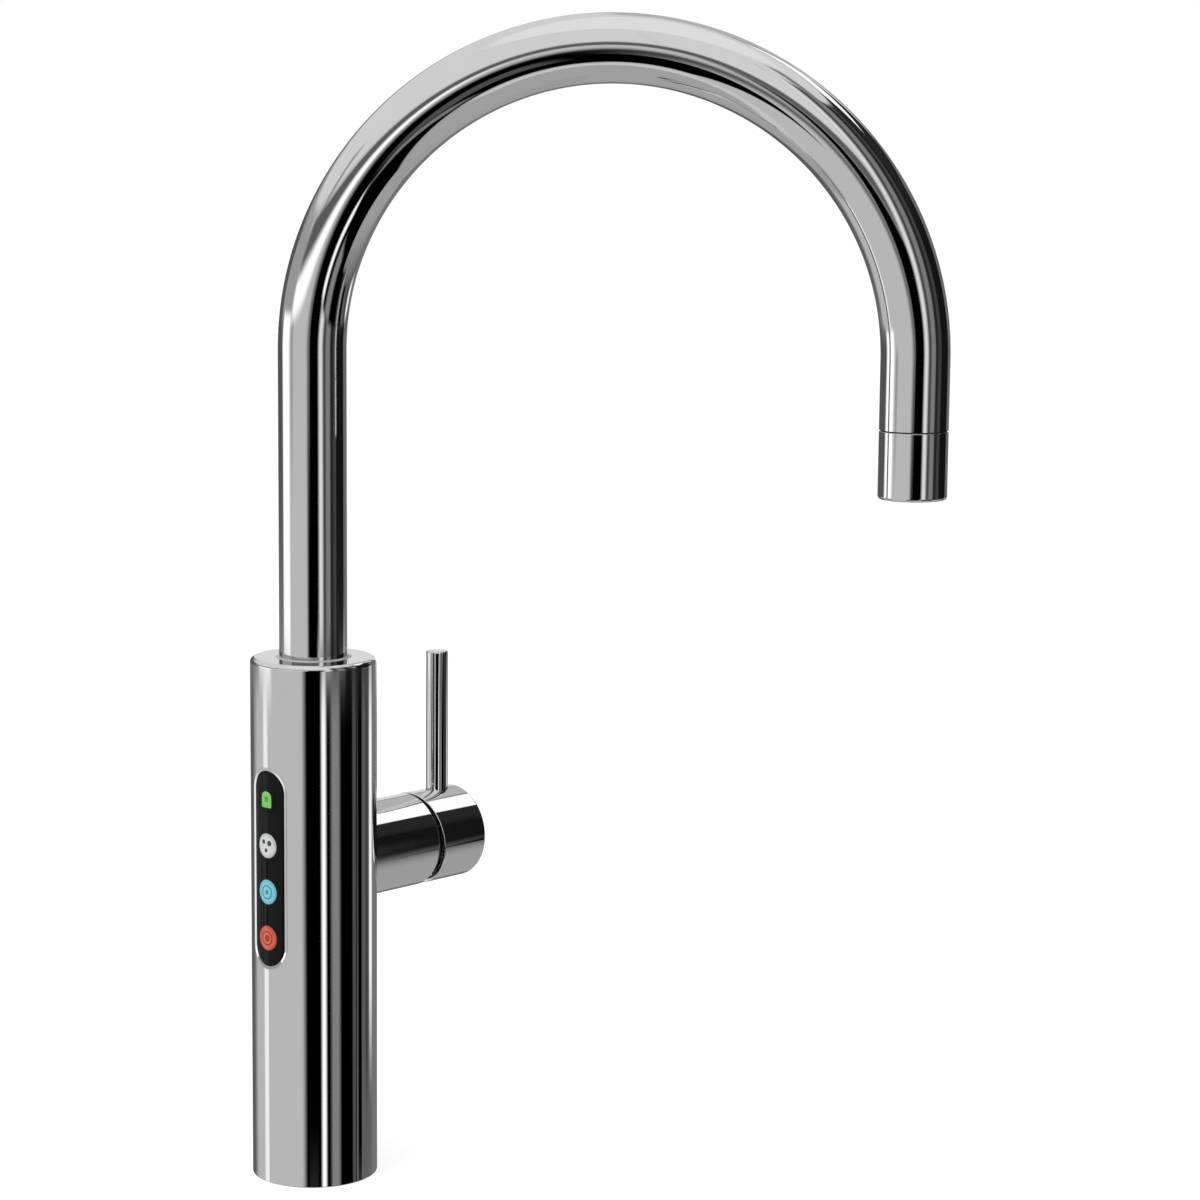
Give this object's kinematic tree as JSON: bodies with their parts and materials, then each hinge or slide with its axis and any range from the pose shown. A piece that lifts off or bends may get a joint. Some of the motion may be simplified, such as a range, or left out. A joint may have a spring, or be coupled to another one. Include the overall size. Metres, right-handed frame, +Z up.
{
  "type": "boiling water tap",
  "caption": "Tall kitchen mixer tap with a swivelling gooseneck spout, a side lever and an upright panel of round keys for boiling, chilled and sparkling water.",
  "frame": {"origin": "centre of the column's foot, on the worktop's surface", "axes": "+Z up along the column; at rest the spout reaches along +X, the side lever stands 52 degrees towards +Y and the key panel faces the opposite way"},
  "size_m": [0.2755, 0.101, 0.5315],
  "materials": {
    "chrome": "mirror-bright chrome plate",
    "brass": "machined brass, unplated",
    "steel": "plain stainless steel",
    "rubber": "black moulded rubber",
    "dark_plastic": "dark grey moulded plastic",
    "white_plastic": "white moulded plastic",
    "ceramic": "lapped ceramic",
    "boiling_line": "red heat-proof tube",
    "filtered_line": "blue tube",
    "panel_black": "gloss black",
    "silicone": "grey silicone sheet",
    "board_green": "green laminate",
    "lamp": "clear lamp",
    "key_white": "gloss white",
    "key_blue": "gloss light blue",
    "key_red": "gloss red",
    "icon_green": "lit green",
    "icon_grey": "dark grey print",
    "icon_teal": "dark blue print",
    "icon_dark_red": "dark red print"
  },
  "bodies": {
    "column": {"column_shell": "chrome", "foot_plate": "steel", "foot_gasket": "rubber", "deck_shank": "brass", "rubber_washer": "rubber", "steel_washer": "steel", "shank_nut": "brass", "valve_core": "brass", "core_screws": "steel", "cable_grommet": "rubber", "housing_gasket": "rubber", "cartridge_housing": "brass", "side_sleeve": "chrome", "cartridge_body": "white_plastic", "port_seals": "rubber", "fixed_disc": "ceramic", "cartridge_nut": "dark_plastic", "upper_bush": "white_plastic", "lower_bush": "white_plastic", "swivel_stop": "steel", "panel_trim": "chrome", "panel_cover": "panel_black", "key_mat": "silicone", "circuit_board": "board_green", "key_switches": "steel", "key_lamps": "lamp", "board_screws": "steel"},
    "spout": {"spout_tube": "chrome", "spout_spigot": "brass", "spigot_seals": "rubber", "mixed_tube": "white_plastic", "boiling_tube": "boiling_line", "filtered_tube": "filtered_line", "tube_collector": "dark_plastic", "outlet_sleeve": "chrome", "outlet_seal": "rubber", "aerator_body": "dark_plastic", "aerator_screen": "steel"},
    "valve_rotor": {"cartridge_rotor": "dark_plastic", "pivot_pin": "steel"},
    "lever": {"lever_spindle": "steel", "lever_hub": "chrome", "lever_pin": "chrome", "hub_screw": "steel"},
    "valve_slide": {"disc_carrier": "dark_plastic", "moving_disc": "ceramic"},
    "lock_button": {"lock_key": "panel_black", "lock_icon": "icon_green"},
    "sparkling_button": {"sparkling_key": "key_white", "sparkling_icon": "icon_grey"},
    "chilled_button": {"chilled_key": "key_blue", "chilled_icon": "icon_teal"},
    "boiling_button": {"boiling_key": "key_red", "boiling_icon": "icon_dark_red"}
  },
  "joints": [
    {"name": "spout_swivel", "type": "hinge", "parent": "column", "child": "spout", "pos_m": [0, 0, 0.16], "axis": [0, 0, 1], "range_deg": [-113, 37]},
    {"name": "lever_turn", "type": "hinge", "parent": "column", "child": "valve_rotor", "pos_m": [0, 0, 0.128], "axis": [0.6157, 0.788, 0], "range_deg": [-50, 50]},
    {"name": "lever_tilt", "type": "hinge", "parent": "valve_rotor", "child": "lever", "pos_m": [0.02709, 0.03467, 0.128], "axis": [-0.788, 0.6157, 0], "range_deg": [0, 18]},
    {"name": "disc_travel", "type": "slide", "parent": "valve_rotor", "child": "valve_slide", "axis": [0, 0, 1], "range_m": [0, 0.0029]},
    {"name": "lock_press", "type": "slide", "parent": "column", "child": "lock_button", "axis": [0.6157, 0.788, 0], "range_m": [0, 0.0005], "stiffness_N_per_m": 2500},
    {"name": "sparkling_press", "type": "slide", "parent": "column", "child": "sparkling_button", "axis": [0.6157, 0.788, 0], "range_m": [0, 0.0005], "stiffness_N_per_m": 2500},
    {"name": "chilled_press", "type": "slide", "parent": "column", "child": "chilled_button", "axis": [0.6157, 0.788, 0], "range_m": [0, 0.0005], "stiffness_N_per_m": 2500},
    {"name": "boiling_press", "type": "slide", "parent": "column", "child": "boiling_button", "axis": [0.6157, 0.788, 0], "range_m": [0, 0.0005], "stiffness_N_per_m": 2500}
  ],
  "couplings": [
    {"joint": "disc_travel", "follows": "lever_tilt", "m_per_rad": 0.009}
  ]
}
